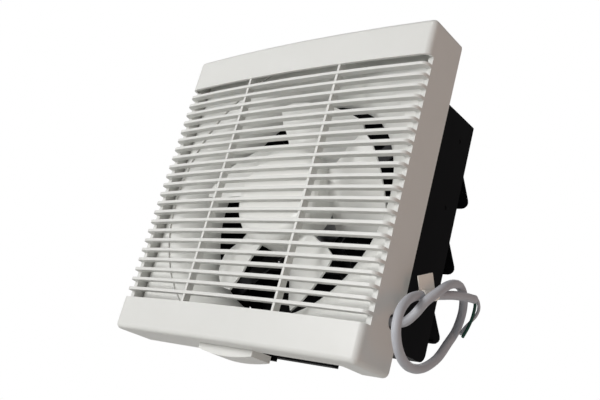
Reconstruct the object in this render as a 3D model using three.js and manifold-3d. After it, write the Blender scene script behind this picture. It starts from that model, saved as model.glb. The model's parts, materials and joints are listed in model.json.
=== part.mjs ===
// An eight inch square window exhaust fan: louvred front cover, orifice frame, five-bladed impeller,
// capacitor motor on a four-armed bracket, wall box with three linked shutter flaps, and its supply cable.
//
// Millimetres. The origin is the centre of the wall plane, where the box's flange rests on the wall.
// +X is right as seen from the room, +Y goes through the wall to the outside and +Z is up.

import * as THREE from "three";
import Module from "manifold-3d";
import { mergeVertices } from "three/addons/utils/BufferGeometryUtils.js";

// ---------------------------------------------------------------- driving dimensions

// Front cover
const coverSize = 300; // square
const coverDepth = 45; // from the wall plane to the front edge at the sides
const coverBow = 6; // the middle of the front stands this far ahead of its sides
const coverWall = 2.5;
const coverCorner = 6; // plan radius of the upright front edges
const coverFillet = 5; // radius of the top and bottom edges
const coverWallGap = 0.4; // between the cover's rear edge and the wall
const coverFit = 0.5; // between the cover and the flange that it slips over
const slatsTop = 115; // lower edge of the top band
const slatsBottom = -118; // upper edge of the bottom band
const slatCount = 22;
const slatHeight = 2.8;
const slatDepth = 6;
const slatReturn = 7.5; // how far the slats run back round the cover's sides
const lipWidth = 5; // front edge of the side walls, behind the slats' ends
const lipDepth = 3;
const barOffset = 57; // the two upright bars, from the middle
const barWidth = 2.6;
const barSetback = 1.2; // behind the louvres' front edges
const barDepth = 4.6;
const hookOffset = 94; // the cover hangs on two hooks at its top rear edge
const hookWidth = 12;
const hookDrop = 2.2;

// Release tab under the cover's lower edge
const tabWidth = 67;
const tabFront = 34; // its front face, ahead of the wall plane
const tabBack = 10;
const tabDrop = 8.5; // below the cover in the middle
const tabSideDrop = 5; // and at its ends
const tabWall = 2;
const tabGap = 0.7;
const tabPivotRadius = 1.2;
const tabPivotHeight = 5; // above the cover's underside
const tabArmWidth = 18;
const tabArmThickness = 1.4;

// Opening in the cover's underside, to the right of the tab
const notchRight = 125;
const notchDepth = 28.5;

// Orifice frame
const frameInset = 2; // it is this much smaller than the flange, all round
const frameFront = 26; // front of its plate, ahead of the wall plane
const frameWall = 1.8;
const mouthRim = 1; // between the bell's mouth and the frame's edge
const ringStep = 0.8; // the plate's hole is this much smaller than the bell's lip
const throatRadius = 111;
const bellLength = 36.5;
const throatLength = 4.5;
const bellWall = 1.4;
const bossInset = 12; // corner screws, in from the frame's inner sides
const bossRadius = 5;

// Wall box
const boxSize = 236;
const boxWall = 2.4;
const boxDepth = 94;
const flangeThickness = 3;
const flangeCorner = 5;
const boxCornerRadius = 9; // its lower rear corner, seen from the side
const wallScrewZ = 75;
const wallScrewRadius = 2.5;
const lipDrop = 1.5; // strip under the flange that shows through the cover's notch
const lipRight = 100;
const lugLeft = -34; // catch for the release tab
const lugRight = 36;
const lugDrop = 4.6;
const lugThickness = 2.6;
const lugSetback = 4.4; // rear face of the catch, ahead of the wall plane
const cornerBlock = 20; // blocks that carry the motor bracket
const cornerBlockDepth = 10;

// Shutter
const flapCount = 3;
const flapPitch = 68.3;
const flapLength = 68;
const flapThickness = 1.6;
const flapTopHinge = 94; // height of the uppermost hinge
const flapAxis = 74.5; // hinges, behind the wall plane
const flapSideGap = 1.1;
const flapOpenDegrees = 43; // from hanging shut
const flapBarrelRadius = 2.2;
const flapPinRadius = 1.7;
const flapPinGap = 0.25;
const flapCornerRadius = 8;
const flapWebStart = 14; // the web at the link's end of each flap, measured from the hinge
const flapWebDeepest = 40;
const flapWebDepth = 14.5;
const flapWebToe = 7; // its depth where it stops
const flapWebEnd = 58;
const crossBarHeight = 8;
const crossBarDepth = 5.5;
const crossBarGap = 0.8;
const linkX = -103.5;
const linkThickness = 3;
const linkWidth = 5;
const linkPinRadius = 1.5;
const linkAlong = 20; // pin of the link, down the flap from its hinge
const linkAhead = 7; // and in front of the flap

// Impeller
const bladeCount = 5;
const bladeTipRadius = 102.5;
const bladeThickness = 2.2;
const bladeFirstAngle = 105.6; // leading edge at the hub, degrees anticlockwise from +X seen from the room
const bladeSweep = 11.3; // how far ahead the leading edge is at the tip
const bladeHollow = 3.6; // and how far it falls back half-way out
const bladeRootSpan = 58; // degrees covered by a blade at the hub
const bladeTipSpan = 60.8;
const bladeWaist = 7.5; // it covers this much less half-way out
const bladeRootFront = 8.6; // leading edge at the hub, ahead of the wall plane
const bladeTipFront = 21.4;
const bladeRootBack = 19.5; // trailing edge, behind it
const bladeTipBack = 25.3;
const bladeRootCamber = 10.2; // the middle of a blade bulges forward by this
const bladeTipCamber = 2.3;
const bladeSteepening = 1.43; // above 1, the blade is steeper near its trailing edge
const hubRadius = 50;
const hubFlatRadius = 38;
const hubFront = 29; // ahead of the wall plane
const hubShoulder = 9; // depth of the rounding between the flat and the side
const hubBack = 3;
const hubWall = 2.2;
const hubBossRadius = 10;
const hubBossLength = 7.2;

// Motor
const shaftRadius = 4;
const runningGap = 0.06;
const motorRadius = 42;
const motorFront = 15; // ahead of the wall plane
const motorBack = 35.4; // behind it
const motorWall = 1.6;
const motorSplit = 10;
const bearingRadius = 11;
const bearingWidth = 7;
const bearingCupRadius = 13;
const bearingCupProud = 4;
const statorInner = 24;
const statorFront = -2;
const statorBack = 22;
const windingDepth = 6.4;
const windingInner = 27;
const windingOuter = 35.6;
const boltCircle = 38.3;
const boltRadius = 1.5;
const bracketThickness = 2;
const bracketArmWidth = 16;
const bracketHubRadius = 46;
const bracketTipGap = 2.5; // between the arms' tips and the box
const bracketScrewInset = 9; // from the arms' tips
const bracketRibHeight = 6;
const bracketRibWidth = 1.6;
const bracketRibShort = 15; // the ribs stop this far before the screws

// Terminal box, capacitor and inner leads
const terminalWidth = 28;
const terminalHeight = 27;
const terminalFront = 20;
const terminalWall = 1.8;
const lidThickness = 1.7;
const leadRadius = 2.2;
const capacitorWidth = 28;
const capacitorHeight = 27;
const capacitorDepth = 15;
const clipThickness = 0.8;
const clipWidth = 8;

// Supply cable
const cordRadius = 3.75;
const coreRadius = 1.35;
const cordY = -9.5; // where it passes the cover's side
const cordHeight = 43; // above the cover's underside
const grommetWall = 0.9;
const grommetFlange = 1.5;
const grommetFlangeRadius = 6.2;
const cordNotchHalf = 7;
const tagLength = 23; // the label's, along the cable
const tagHeight = 14;
const tagThickness = 0.8;
const tagRise = 0.13; // its far end is higher by this share of its length
const tagLean = 0.33; // and its top leans back by this share of its height
const tagPlace = 0.86; // its middle, as a share of the cable's length

// Fits
const seat = 0.3; // between pieces that rest on each other
const screwGap = 0.3;
const screwHeadRadius = 3;
const screwHeadHeight = 1.6;
const screwRadius = 1.5;

// ---------------------------------------------------------------- derived places

const coverHalf = coverSize / 2;
const cordZ = cordHeight - coverHalf;
const flangeHalf = coverHalf - coverWall - coverFit;
const frameHalf = flangeHalf - frameInset;
const frameInner = frameHalf - frameWall;
const mouthRadius = frameHalf - mouthRim;
const boxHalf = boxSize / 2;
const boxInner = boxHalf - boxWall;
const bossOffset = Math.max(frameInner - bossInset, boxHalf + bossRadius); // corner screws, off the axis
const wallScrewX = (flangeHalf + boxHalf) / 2 - wallScrewRadius;
const bracketReach = (boxInner - bracketTipGap) * Math.SQRT2 - bracketArmWidth / 2; // from the fan's axis
const bracketScrewReach = bracketReach - bracketScrewInset;
const bellEnd = bellLength - frameFront + frameWall; // where the bell turns into the throat
const grommetY = cordY;
const bracketFront = motorBack + seat;
const motorBoreRadius = motorRadius - motorWall;

// ---------------------------------------------------------------- solids

const wasm = await Module();
wasm.setup();

// A closed geometry as a solid that can be joined and cut.
function solid(geometry) {
  const loose = geometry.index ? geometry.toNonIndexed() : geometry.clone();
  loose.deleteAttribute("normal");
  loose.deleteAttribute("uv");
  const merged = mergeVertices(loose, 1e-4);
  return new wasm.Manifold(
    new wasm.Mesh({
      numProp: 3,
      vertProperties: merged.attributes.position.array,
      triVerts: new Uint32Array(merged.index.array),
    }),
  );
}

function geometryOf(body) {
  const mesh = body.getMesh();
  const geometry = new THREE.BufferGeometry();
  geometry.setAttribute("position", new THREE.BufferAttribute(mesh.vertProperties, 3));
  geometry.setIndex(new THREE.BufferAttribute(mesh.triVerts, 1));
  geometry.computeVertexNormals();
  return geometry;
}

const middle = ([low, high]) => (low + high) / 2;
const span = ([low, high]) => high - low;
const around = (centre, size) => [centre - size / 2, centre + size / 2];
const radians = THREE.MathUtils.degToRad;

function block(x, y, z) {
  const geometry = new THREE.BoxGeometry(span(x), span(y), span(z));
  return solid(geometry.translate(middle(x), middle(y), middle(z)));
}

// A round bar along one axis. The centre is given in the other two, in X, Y, Z order.
function rod(axis, radius, along, [first, second], sides = 24) {
  const geometry = new THREE.CylinderGeometry(radius, radius, span(along), sides);
  if (axis === "x") geometry.rotateZ(-Math.PI / 2).translate(middle(along), first, second);
  if (axis === "y") geometry.translate(first, middle(along), second);
  if (axis === "z") geometry.rotateX(Math.PI / 2).translate(first, second, middle(along));
  return solid(geometry);
}

// A piece turned about the fan's axis, from a closed profile of [radius, y].
function turned(profile, sides = 48) {
  const points = profile.map(([radius, y]) => new THREE.Vector2(radius, y));
  if (THREE.ShapeUtils.area(points) < 0) points.reverse();
  const openOnAxis = points.some((point) => point.x === 0);
  if (!openOnAxis) points.push(points[0].clone());
  while (openOnAxis && points[0].x !== 0) points.push(points.shift());
  return solid(new THREE.LatheGeometry(points, sides));
}

const ring = (inner, outer, [front, back], sides = 32) =>
  turned([[inner, front], [outer, front], [outer, back], [inner, back]], sides);

// An outline drawn square to an axis, pushed along it. Its points are in X, Y, Z order.
function extruded(points, axis, [from, to]) {
  const shape = new THREE.Shape(points.map(([first, second]) => new THREE.Vector2(first, second)));
  const geometry = new THREE.ExtrudeGeometry(shape, { depth: to - from, bevelEnabled: false });
  const [X, Y, Z] = [[1, 0, 0], [0, 1, 0], [0, 0, 1]].map((v) => new THREE.Vector3(...v));
  if (axis === "x") geometry.applyMatrix4(new THREE.Matrix4().makeBasis(Y, Z, X)).translate(from, 0, 0);
  if (axis === "y") {
    geometry.applyMatrix4(new THREE.Matrix4().makeBasis(X, Z, Y.negate())).translate(0, to, 0);
  }
  if (axis === "z") geometry.translate(0, 0, from);
  return solid(geometry);
}

// Plan outlines of equal length, one above the other, skinned and capped.
function lofted(rings) {
  const count = rings[0].points.length;
  const positions = rings.flatMap(({ z, points }) => points.flatMap(([x, y]) => [x, y, z]));
  const index = [];
  for (let level = 0; level + 1 < rings.length; level += 1) {
    for (let i = 0; i < count; i += 1) {
      const next = (i + 1) % count;
      const [a, b] = [level * count + i, level * count + next];
      index.push(a, b, b + count, a, b + count, a + count);
    }
  }
  const cap = (ring, offset, flip) => {
    const outline = ring.points.map(([x, y]) => new THREE.Vector2(x, y));
    for (const [a, b, c] of THREE.ShapeUtils.triangulateShape(outline, [])) {
      index.push(offset + a, offset + (flip ? c : b), offset + (flip ? b : c));
    }
  };
  cap(rings[0], 0, true);
  cap(rings[rings.length - 1], (rings.length - 1) * count, false);
  const geometry = new THREE.BufferGeometry();
  geometry.setAttribute("position", new THREE.Float32BufferAttribute(positions, 3));
  geometry.setIndex(index);
  return solid(geometry);
}

// A round tube along a curve.
function tube(curve, radius, steps, sides = 10) {
  const section = new THREE.Shape();
  for (let i = 0; i < sides; i += 1) {
    const angle = (i / sides) * 2 * Math.PI;
    const point = [radius * Math.cos(angle), radius * Math.sin(angle)];
    if (i === 0) section.moveTo(...point);
    else section.lineTo(...point);
  }
  return solid(new THREE.ExtrudeGeometry(section, { steps, extrudePath: curve, bevelEnabled: false }));
}

const curveThrough = (points) =>
  new THREE.CatmullRomCurve3(points.map((point) => new THREE.Vector3(...point)), false, "centripetal");

const joined = (...bodies) => bodies.reduce((all, body) => all.add(body));

// A pan-headed screw along Y. The head is on the side that its shank points away from.
function screwAlongY([x, z], seatY, tipY, shankRadius = screwRadius, headRadius = screwHeadRadius) {
  const backward = tipY > seatY ? 1 : -1;
  const head = [seatY - backward * screwHeadHeight, seatY].sort((a, b) => a - b);
  const shank = [seatY - backward * screwHeadHeight * 0.5, tipY].sort((a, b) => a - b);
  return rod("y", headRadius, head, [x, z], 12).add(rod("y", shankRadius, shank, [x, z], 8));
}

const corners = [[1, 1], [-1, 1], [-1, -1], [1, -1]];
const model = new THREE.Group();
model.name = "window_exhaust_fan";

const finishes = {
  white_abs: { color: 0xe4e4e1, roughness: 0.45, metalness: 0 },
  white_fan: { color: 0xe1e1dc, roughness: 0.4, metalness: 0 },
  black_plastic: { color: 0x121216, roughness: 0.55, metalness: 0 },
  black_steel: { color: 0x17171a, roughness: 0.5, metalness: 0.6 },
  zinc_steel: { color: 0xa9abad, roughness: 0.4, metalness: 0.9 },
  laminated_steel: { color: 0x55575b, roughness: 0.6, metalness: 0.8 },
  copper: { color: 0xb0623a, roughness: 0.45, metalness: 0.9 },
  brass: { color: 0xb99a55, roughness: 0.4, metalness: 0.9 },
  grey_pvc: { color: 0x87898e, roughness: 0.5, metalness: 0 },
  green_pvc: { color: 0x004b3c, roughness: 0.5, metalness: 0 },
  label: { color: 0xd7cdc3, roughness: 0.8, metalness: 0 },
};

function part(name, body, finish, parent = model) {
  const mesh = new THREE.Mesh(geometryOf(body), new THREE.MeshStandardMaterial(finishes[finish]));
  mesh.name = name;
  parent.add(mesh);
  return mesh;
}

// ---------------------------------------------------------------- front cover

const frontY = (x) => -coverDepth - coverBow * (1 - (x / coverHalf) ** 2);

// The cover's sides and bowed front in plan, from the left side round to the right one.
function coverPlan(sideInset, frontInset, radius, cornerSteps = 3, bowSteps = 6) {
  const centreX = coverHalf - sideInset - radius;
  const centreY = frontY(centreX) + frontInset + radius;
  const points = [];
  const corner = (x, start) => {
    for (let i = 0; i <= cornerSteps; i += 1) {
      const angle = start + (i / cornerSteps) * (Math.PI / 2);
      points.push([x + radius * Math.cos(angle), centreY + radius * Math.sin(angle)]);
    }
  };
  corner(-centreX, Math.PI);
  for (let i = 1; i < bowSteps; i += 1) {
    const x = centreX * ((2 * i) / bowSteps - 1);
    points.push([x, frontY(x) + frontInset]);
  }
  corner(centreX, Math.PI * 1.5);
  return points;
}

// The cover's envelope with its edges rounded, as far in as the inset and back to the rear.
function coverEnvelope(inset, rear) {
  const fillet = Math.max(coverFillet - inset, 0.5);
  const steps = 3;
  const rings = [];
  for (let i = 0; i <= steps; i += 1) {
    const angle = (Math.PI / 2) * (1 - i / steps);
    const drawnIn = inset + fillet * (1 - Math.cos(angle));
    const edge = coverHalf - drawnIn;
    const radius = Math.max(coverCorner - drawnIn, 0.6);
    const points = [...coverPlan(drawnIn, drawnIn, radius), [edge, rear], [-edge, rear]];
    rings.push({ z: coverHalf - inset - fillet * (1 - Math.sin(angle)), points });
  }
  const lower = rings.map(({ z, points }) => ({ z: -z, points }));
  return lofted([...lower, ...rings.reverse()]);
}

function slat(z) {
  const back = slatReturn - coverDepth + lipDepth / 2;
  const outer = coverPlan(0, 0, coverCorner);
  const inner = coverPlan(lipWidth, slatDepth, 1.2, 1).reverse();
  const side = coverHalf - lipWidth;
  const points = [[-coverHalf, back], ...outer, [coverHalf, back], [side, back], ...inner, [-side, back]];
  return extruded(points, "z", around(z, slatHeight));
}

function frontGrille() {
  const back = -coverWallGap;
  let cover = coverEnvelope(0, back).subtract(coverEnvelope(coverWall, back + 5));

  const slotBack = slatReturn - coverDepth;
  const opening = [slatsBottom, slatsTop];
  const beyond = coverHalf + 5;
  const front = -coverDepth - coverBow - 5;
  cover = cover.subtract(block([-beyond, beyond], [front, slotBack], opening));
  for (const side of [-1, 1]) {
    const lip = [side * (coverHalf - lipWidth), side * coverHalf].sort((a, b) => a - b);
    cover = cover.add(block(lip, [slotBack, slotBack + lipDepth], [slatsBottom - 1, slatsTop + 1]));
  }

  const gap = (span(opening) - slatCount * slatHeight) / (slatCount + 1);
  for (let i = 0; i < slatCount; i += 1) {
    const z = slatsTop - gap - slatHeight / 2 - i * (gap + slatHeight);
    cover = cover.add(slat(z));
  }

  for (const side of [-1, 1]) {
    const x = around(side * barOffset, barWidth);
    const slatRear = frontY(barOffset) + slatDepth;
    const barBack = slatRear + barDepth - 2;
    const barFront = frontY(barOffset) + barSetback;
    cover = cover.add(block(x, [barFront, barBack], [slatsBottom - 2, slatsTop + 2]));
    const foot = [frontY(barOffset) + coverWall / 2, barBack];
    cover = cover.add(block(x, foot, [slatsTop + 0.5, slatsTop + 3]));
    cover = cover.add(block(x, foot, [slatsBottom - 3, slatsBottom - 0.5]));
    const hook = around(side * hookOffset, hookWidth);
    const hookZ = [coverHalf - coverWall - hookDrop, coverHalf - coverWall / 2];
    cover = cover.add(block(hook, [-flangeThickness, back], hookZ));
  }

  cover = cover.subtract(undersideOpening());
  for (const side of [-1, 1]) {
    const near = tabWidth / 2 + tabGap;
    const lug = [side * near, side * (near + 3)].sort((a, b) => a - b);
    const pivot = [-tabFront + 0.8, tabPivotHeight - coverHalf];
    const ear = block(lug, [pivot[0] - 2.8, pivot[0] + 2.8], [-coverHalf + coverWall / 2, pivot[1] + 2.6]);
    const hole = rod("x", tabPivotRadius + screwGap, [lug[0] - 1, lug[1] + 1], pivot, 16);
    cover = cover.add(ear.subtract(hole));
  }

  const notchZ = around(cordZ, 2 * cordNotchHalf);
  const notchX = [coverHalf - coverWall - 1, beyond];
  const notch = rod("x", cordNotchHalf, notchX, [cordY, cordZ]).add(block(notchX, [cordY, 5], notchZ));
  return cover.subtract(notch);
}

// The tab's opening and the notch to its right, both open to the rear.
function undersideOpening() {
  const side = tabWidth / 2 + tabGap - 0.1;
  const front = -tabFront - 1.3;
  const points = [[-side, 5], [-side, front], [side, front], [side, -notchDepth - 2]];
  points.push([side + 8, -notchDepth - 1], [side + 22, -notchDepth], [notchRight - 3, -notchDepth]);
  points.push([notchRight, -notchDepth + 3], [notchRight, 5]);
  return extruded(points, "z", [-coverHalf - 1, -coverHalf + coverWall + 1]);
}

function releaseTab() {
  const half = tabWidth / 2;
  const steps = 12;
  const lowerEdge = (inset) => {
    const points = [];
    for (let i = 0; i <= steps; i += 1) {
      const x = (half - inset) * ((2 * i) / steps - 1);
      const drop = tabSideDrop + (tabDrop - tabSideDrop) * (1 - (x / half) ** 2);
      points.push([x, inset - coverHalf - drop]);
    }
    return points;
  };
  const tray = (inset, top, along) => {
    const reach = half - inset;
    return extruded([...lowerEdge(inset), [reach, top], [-reach, top]], "y", along);
  };
  const rim = -coverHalf + 1.2;
  const shell = tray(0, rim, [-tabFront, -tabBack]);
  const hollow = tray(tabWall, rim + 2, [-tabFront + 1.6, -tabBack - 1.6]);
  const pivotZ = tabPivotHeight - coverHalf;
  const stem = block([-half, half], [-tabFront, -tabFront + 1.6], [rim - 1, pivotZ + 1.8]);
  const armTop = -flangeHalf - lugDrop - screwGap;
  const armZ = [armTop - tabArmThickness, armTop];
  const arm = block(around(0, tabArmWidth), [-tabBack - 1, -lugSetback + 2.8], armZ);
  let tab = joined(shell.subtract(hollow), stem, arm);
  for (const side of [-1, 1]) {
    const trunnion = [side * (half - 2), side * (half + tabGap + 2.2)].sort((a, b) => a - b);
    tab = tab.add(rod("x", tabPivotRadius, trunnion, [-tabFront + 0.8, pivotZ], 16));
  }
  return tab;
}

part("front_grille", frontGrille(), "white_abs");
part("release_tab", releaseTab(), "white_abs");

// ---------------------------------------------------------------- orifice frame

// Radius and place of the bell's surface, a quarter ellipse, offset by its wall on the back.
function bellCurve(offset, steps = 6) {
  const points = [];
  for (let i = 0; i <= steps; i += 1) {
    const angle = (i / steps) * (Math.PI / 2);
    const radius = mouthRadius - (mouthRadius - throatRadius - offset) * Math.sin(angle);
    points.push([radius, bellEnd - (bellLength - offset) * Math.cos(angle)]);
  }
  return points;
}

function orificeFrame() {
  const plateBack = frameWall - frameFront;
  const rear = -flangeThickness - seat;
  const holeRadius = mouthRadius - ringStep;
  const plate = block([-frameHalf, frameHalf], [-frameFront, plateBack], [-frameHalf, frameHalf]);
  const skirt = block([-frameHalf, frameHalf], [plateBack - 0.5, rear], [-frameHalf, frameHalf]);
  const inside = [-frameInner, frameInner];
  const hollow = block(inside, [plateBack, rear + 1], inside);
  let frame = plate.add(skirt).subtract(hollow);
  frame = frame.subtract(rod("y", holeRadius, [-frameFront - 1, plateBack + 1], [0, 0], 48));

  const throatEnd = bellEnd + throatLength;
  const lip = Math.min(frameHalf - 0.2, mouthRadius + 0.8);
  const front = bellCurve(0);
  const back = bellCurve(bellWall).reverse();
  const profile = [
    [lip, plateBack - 0.4],
    [holeRadius + 0.2, plateBack - 0.4],
    ...front,
    [throatRadius, throatEnd],
    [throatRadius + bellWall, throatEnd],
    ...back,
    [lip, plateBack + bellWall],
  ];
  frame = frame.add(turned(profile, 48));

  for (const [sideX, sideZ] of corners) {
    const at = [sideX * bossOffset, sideZ * bossOffset];
    frame = frame.add(rod("y", bossRadius, [plateBack - 0.5, rear], at, 20));
    frame = frame.subtract(rod("y", screwRadius + screwGap, [-frameFront - 1, rear + 1], at, 12));
  }

  const barrel = cordRadius + screwGap + grommetWall + 0.3;
  const wall = [frameInner - 1, frameHalf + 1];
  const slot = rod("x", barrel, wall, [grommetY, cordZ]);
  const mouth = block(wall, [grommetY, rear + 1], around(cordZ, 2 * barrel));
  const exitX = [lipRight, notchRight + 2];
  const exitNotch = block(exitX, [plateBack + 0.5, rear + 1], [-frameHalf - 1, -frameInner + 1]);
  return frame.subtract(joined(slot, mouth, exitNotch));
}

part("orifice_frame", orificeFrame(), "white_abs");

corners.forEach(([sideX, sideZ], i) => {
  const at = [sideX * bossOffset, sideZ * bossOffset];
  part(`frame_screw_${i + 1}`, screwAlongY(at, -frameFront - seat, -0.8), "zinc_steel");
});

// ---------------------------------------------------------------- wall box

function housing() {
  const rounded = [];
  corners.forEach(([sideX, sideZ], turn) => {
    for (let i = 0; i <= 3; i += 1) {
      const angle = (turn + i / 3) * (Math.PI / 2);
      const reach = flangeHalf - flangeCorner;
      const [right, up] = [flangeCorner * Math.cos(angle), flangeCorner * Math.sin(angle)];
      rounded.push([sideX * reach + right, sideZ * reach + up]);
    }
  });
  const flange = extruded(rounded, "y", [-flangeThickness, 0]);
  const tunnel = block([-boxHalf, boxHalf], [-flangeThickness / 2, boxDepth], [-boxHalf, boxHalf]);
  const inside = [-boxInner, boxInner];
  let box = flange.add(tunnel).subtract(block(inside, [-flangeThickness - 1, boxDepth + 1], inside));

  // The lower rear corner is rounded, seen from the side.
  const corner = [[boxDepth + 1, -boxHalf - 1], [boxDepth + 1, -boxHalf + boxCornerRadius]];
  for (let i = 0; i <= 5; i += 1) {
    const angle = (-Math.PI / 2) * (i / 5);
    const y = boxDepth - boxCornerRadius + boxCornerRadius * Math.cos(angle);
    const z = boxCornerRadius - boxHalf + boxCornerRadius * Math.sin(angle);
    corner.push([y, z]);
  }
  corner.push([boxDepth - boxCornerRadius, -boxHalf - 1]);
  box = box.subtract(extruded(corner, "x", [-boxHalf - 1, boxHalf + 1]));

  // Header and sill of the shutter, and a bar in front of each lower hinge.
  const barRear = flapAxis - flapBarrelRadius - crossBarGap;
  const barY = [barRear - crossBarDepth, barRear];
  const overlap = boxInner + 0.5;
  box = box.add(block([-overlap, overlap], barY, [flapTopHinge + flapBarrelRadius + 0.6, overlap]));
  box = box.add(block([-overlap, overlap], barY, [-overlap, lastHinge() - flapLength + 4]));
  for (let i = 1; i < flapCount; i += 1) {
    const z = around(flapTopHinge - i * flapPitch, crossBarHeight);
    box = box.add(block([linkX + linkThickness + 4, overlap], barY, z));
  }
  for (let i = 0; i < flapCount; i += 1) {
    const at = [flapAxis, flapTopHinge - i * flapPitch];
    box = box.subtract(rod("x", flapPinRadius + flapPinGap, [-boxHalf - 1, boxHalf + 1], at, 20));
  }

  // Corner blocks that the motor bracket is screwed to.
  const blockFront = bracketFront + bracketThickness + seat;
  const blockY = [blockFront, blockFront + cornerBlockDepth];
  const screwOffset = bracketScrewReach * Math.SQRT1_2;
  for (const [sideX, sideZ] of corners) {
    const x = [sideX * (boxInner - cornerBlock), sideX * overlap].sort((a, b) => a - b);
    const z = [sideZ * (boxInner - cornerBlock), sideZ * overlap].sort((a, b) => a - b);
    const at = [sideX * screwOffset, sideZ * screwOffset];
    const hole = rod("y", screwRadius + 0.1, [blockY[0] - 1, blockY[1] - 2], at, 12);
    box = box.add(block(x, blockY, z).subtract(hole));
  }

  // Strip under the flange with the catch for the release tab.
  const stripZ = [-flangeHalf - lipDrop, -flangeHalf + 1];
  box = box.add(block([lugLeft, lipRight], [-8, 0], stripZ));
  const lugY = [-lugSetback - lugThickness, -lugSetback];
  box = box.add(block([lugLeft, lugRight], lugY, [-flangeHalf - lugDrop, -flangeHalf]));

  // Openings in the flange: wall screws, frame screws, the capacitor's clip, hooks and the lower exit.
  const through = [-flangeThickness - 1, 1];
  for (const [sideX, sideZ] of corners) {
    const wallScrew = [sideX * wallScrewX, sideZ * wallScrewZ];
    box = box.subtract(rod("y", wallScrewRadius, through, wallScrew, 20));
    const frameScrew = [sideX * bossOffset, sideZ * bossOffset];
    box = box.subtract(rod("y", screwRadius + screwGap, through, frameScrew, 12));
  }
  box = box.subtract(rod("y", screwRadius + screwGap, through, clipScrewPlace(), 12));
  for (const side of [-1, 1]) {
    const x = around(side * hookOffset, hookWidth + 4);
    box = box.subtract(block(x, through, [flangeHalf - hookDrop - 0.8, flangeHalf + 1]));
  }
  box = box.subtract(block([lipRight, notchRight + 2], through, [-flangeHalf - 2, -frameInner + 1]));

  // Room for the back of the bell at the middle of each side.
  const clearance = bellCurve(bellWall + 0.5).filter(([, y]) => y > -frameFront + 6);
  const profile = [[throatRadius - 8, clearance[0][1]], ...clearance, [throatRadius - 8, bellEnd]];
  return box.subtract(turned(profile, 48));
}

function lastHinge() {
  return flapTopHinge - (flapCount - 1) * flapPitch;
}

part("housing", housing(), "black_plastic");

// ---------------------------------------------------------------- shutter

const flapOpen = radians(flapOpenDegrees);
const flapNames = ["flap_top", "flap_middle", "flap_bottom"];

// One flap hanging shut, with its hinge along X through the origin.
function flap() {
  const width = 2 * (boxInner - flapSideGap);
  const half = width / 2;
  const outline = [[half, 0], [-half, 0]];
  const arc = (x, start) => {
    for (let i = 0; i <= 4; i += 1) {
      const angle = start + (i / 4) * (Math.PI / 2);
      const z = flapCornerRadius - flapLength + flapCornerRadius * Math.sin(angle);
      outline.push([x + flapCornerRadius * Math.cos(angle), z]);
    }
  };
  arc(flapCornerRadius - half, Math.PI);
  arc(half - flapCornerRadius, Math.PI * 1.5);
  const plate = extruded(outline, "y", around(0, flapThickness));
  const barrel = rod("x", flapBarrelRadius, [-half, half], [0, 0], 16);
  const pins = rod("x", flapPinRadius, around(0, 2 * (boxHalf - 0.4)), [0, 0], 16);
  const rib = block(around(0, width - 2 * flapCornerRadius), [-2.2, 0], [2 - flapLength, 3.6 - flapLength]);

  const earX = [linkX + linkThickness / 2 + 0.5, linkX + linkThickness / 2 + 2.5];
  const notchX = [linkX - linkThickness / 2 - 2, earX[0]];
  const notch = block(notchX, [-4, 4], [-linkAlong - 6, 4]);
  const ear = block(earX, [-linkAhead - 3, 0], around(-linkAlong, 8));
  const pinX = [linkX - linkThickness / 2 - 0.8, earX[1]];
  const linkPin = rod("x", linkPinRadius, pinX, [-linkAhead, -linkAlong], 16);
  const webOutline = [[0, -flapWebStart], [-flapWebDepth / 2, -flapWebStart], [-flapWebDepth, -flapWebDeepest]];
  webOutline.push([-flapWebToe, -flapWebEnd], [0, -flapWebEnd]);
  const web = extruded(webOutline, "x", [-half, flapThickness - half]);
  return joined(plate, barrel, pins, rib, web).subtract(notch).add(ear).add(linkPin);
}

for (let i = 0; i < flapCount; i += 1) {
  const mesh = part(flapNames[i], flap(), "black_plastic");
  mesh.rotation.x = flapOpen;
  mesh.position.set(0, flapAxis, flapTopHinge - i * flapPitch);
}

// The bar that joins the flaps stays upright as they turn.
function shutterLink() {
  const x = around(linkX, linkThickness);
  const reach = (flapCount - 1) * flapPitch;
  let link = block(x, around(0, linkWidth), [-reach - 4, 4]);
  for (let i = 0; i < flapCount; i += 1) {
    const hole = rod("x", linkPinRadius + 0.25, [x[0] - 1, x[1] + 1], [0, -i * flapPitch], 16);
    link = link.subtract(hole);
  }
  return link;
}

const linkMesh = part("shutter_link", shutterLink(), "black_plastic");
linkMesh.position.set(
  0,
  flapAxis + linkAlong * Math.sin(flapOpen) - linkAhead * Math.cos(flapOpen),
  flapTopHinge - linkAlong * Math.cos(flapOpen) - linkAhead * Math.sin(flapOpen),
);

// ---------------------------------------------------------------- motor and its bracket

const quarterTurns = [0, 90, 180, 270].map(radians);

function motorBracket() {
  const y = [bracketFront, bracketFront + bracketThickness];
  let bracket = rod("y", bracketHubRadius, y, [0, 0], 32);
  for (const side of [45, 135, 225, 315].map(radians)) {
    const arm = new THREE.BoxGeometry(bracketReach, bracketThickness, bracketArmWidth);
    arm.translate(bracketReach / 2, middle(y), 0).rotateY(side);
    const ribLength = bracketScrewReach - bracketHubRadius - bracketRibShort;
    const rib = new THREE.BoxGeometry(ribLength, bracketRibHeight, bracketRibWidth);
    rib.translate(bracketHubRadius - 2 + ribLength / 2, y[1] + bracketRibHeight / 2 - 0.5, 0).rotateY(side);
    bracket = joined(bracket, solid(arm), solid(rib));
    const at = [bracketScrewReach * Math.cos(side), -bracketScrewReach * Math.sin(side)];
    bracket = bracket.subtract(rod("y", screwRadius + screwGap, [y[0] - 1, y[1] + 1], at, 12));
  }
  bracket = bracket.subtract(rod("y", bearingCupRadius + 1, [y[0] - 1, y[1] + 1], [0, 0], 24));
  for (const angle of quarterTurns) {
    const at = [boltCircle * Math.cos(angle), boltCircle * Math.sin(angle)];
    bracket = bracket.subtract(rod("y", boltRadius + screwGap, [y[0] - 1, y[1] + 1], at, 12));
  }
  return bracket;
}

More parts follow.
